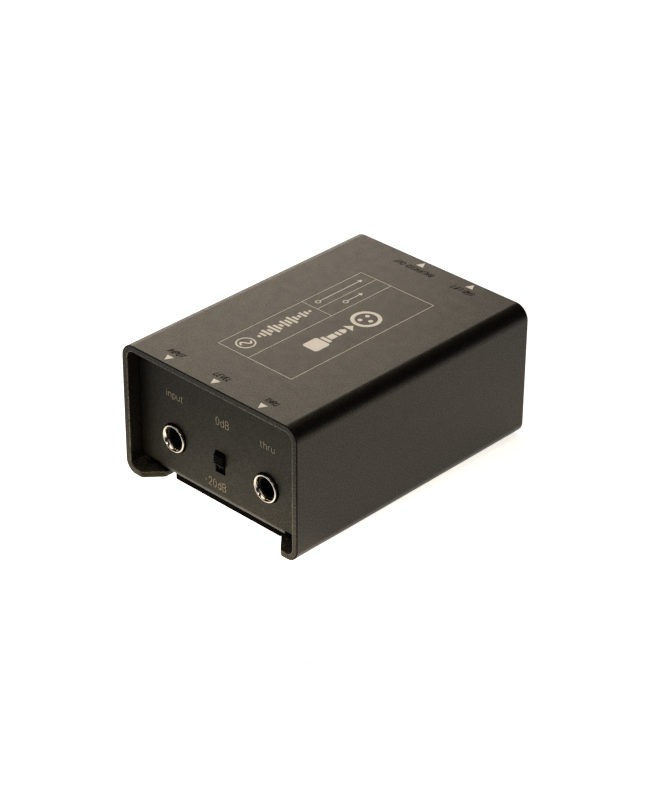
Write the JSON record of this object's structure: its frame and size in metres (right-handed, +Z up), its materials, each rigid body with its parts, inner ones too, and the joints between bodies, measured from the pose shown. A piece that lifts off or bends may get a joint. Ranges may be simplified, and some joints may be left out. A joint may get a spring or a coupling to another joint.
{
  "type": "direct injection box",
  "caption": "Folded steel case with two jack sockets, an attenuator slide switch, a three-pin output connector and a ground lift switch.",
  "frame": {"origin": "centre of the foot pad's underside, midway between the case's sides and between its front and rear edges", "axes": "+X to the right seen from the jack side, +Y from the jack side to the output side, +Z up"},
  "size_m": [0.08, 0.11, 0.05],
  "materials": {
    "shell_coat": "fine matte powder coat",
    "chassis_coat": "fine matte powder coat",
    "pad_rubber": "matte",
    "black_screw": "black zinc",
    "zinc_steel": "zinc plated",
    "nickel_brass": "nickel plated",
    "chrome_nose": "polished",
    "contact_metal": "bright",
    "tinned_lead": "tinned",
    "black_plastic": "matte",
    "knob_plastic": "satin",
    "board_laminate": "solder mask",
    "phenolic": "matte",
    "core_steel": "laminated",
    "bobbin_plastic": "satin",
    "copper_wire": "enamelled",
    "component_body": "lacquered",
    "capacitor_body": "epoxy"
  },
  "bodies": {
    "box": {"outer_shell": "shell_coat", "chassis": "chassis_coat", "bottom_pad": "pad_rubber", "case_screws": "black_screw", "clinch_nuts": "zinc_steel", "board_standoffs": "nickel_brass", "circuit_board": "board_laminate", "board_screws": "zinc_steel", "input_jack_housing": "black_plastic", "input_jack_ferrule": "chrome_nose", "input_jack_terminals": "tinned_lead", "thru_jack_housing": "black_plastic", "thru_jack_ferrule": "chrome_nose", "thru_jack_terminals": "tinned_lead", "pad_switch_frame": "zinc_steel", "pad_switch_base": "phenolic", "pad_switch_terminals": "tinned_lead", "lift_switch_frame": "zinc_steel", "lift_switch_base": "phenolic", "lift_switch_terminals": "tinned_lead", "output_housing": "black_plastic", "output_insert": "black_plastic", "output_pins": "tinned_lead", "output_screws": "black_screw", "transformer_core": "core_steel", "transformer_bobbin": "bobbin_plastic", "transformer_winding": "copper_wire", "transformer_pins": "tinned_lead", "pad_resistors": "component_body", "lift_capacitor": "capacitor_body", "lift_resistor": "component_body"},
    "pad_slider": {"pad_switch_knob": "knob_plastic", "pad_switch_bridges": "contact_metal"},
    "lift_slider": {"lift_switch_knob": "knob_plastic", "lift_switch_bridges": "contact_metal"},
    "input_tip": {"input_jack_tip_spring": "contact_metal"},
    "thru_tip": {"thru_jack_tip_spring": "contact_metal"}
  },
  "joints": [
    {"name": "pad_slide", "type": "slide", "parent": "box", "child": "pad_slider", "axis": [0, 0, -1], "range_m": [0, 0.0024]},
    {"name": "lift_slide", "type": "slide", "parent": "box", "child": "lift_slider", "axis": [0, 0, -1], "range_m": [0, 0.0024]},
    {"name": "input_tip_flex", "type": "hinge", "parent": "box", "child": "input_tip", "pos_m": [-0.021, -0.039, 0.02293], "axis": [1, 0, 0], "range_deg": [0, 3], "stiffness_Nm_per_rad": 0.05},
    {"name": "thru_tip_flex", "type": "hinge", "parent": "box", "child": "thru_tip", "pos_m": [0.0216, -0.039, 0.02293], "axis": [1, 0, 0], "range_deg": [0, 3], "stiffness_Nm_per_rad": 0.05}
  ]
}
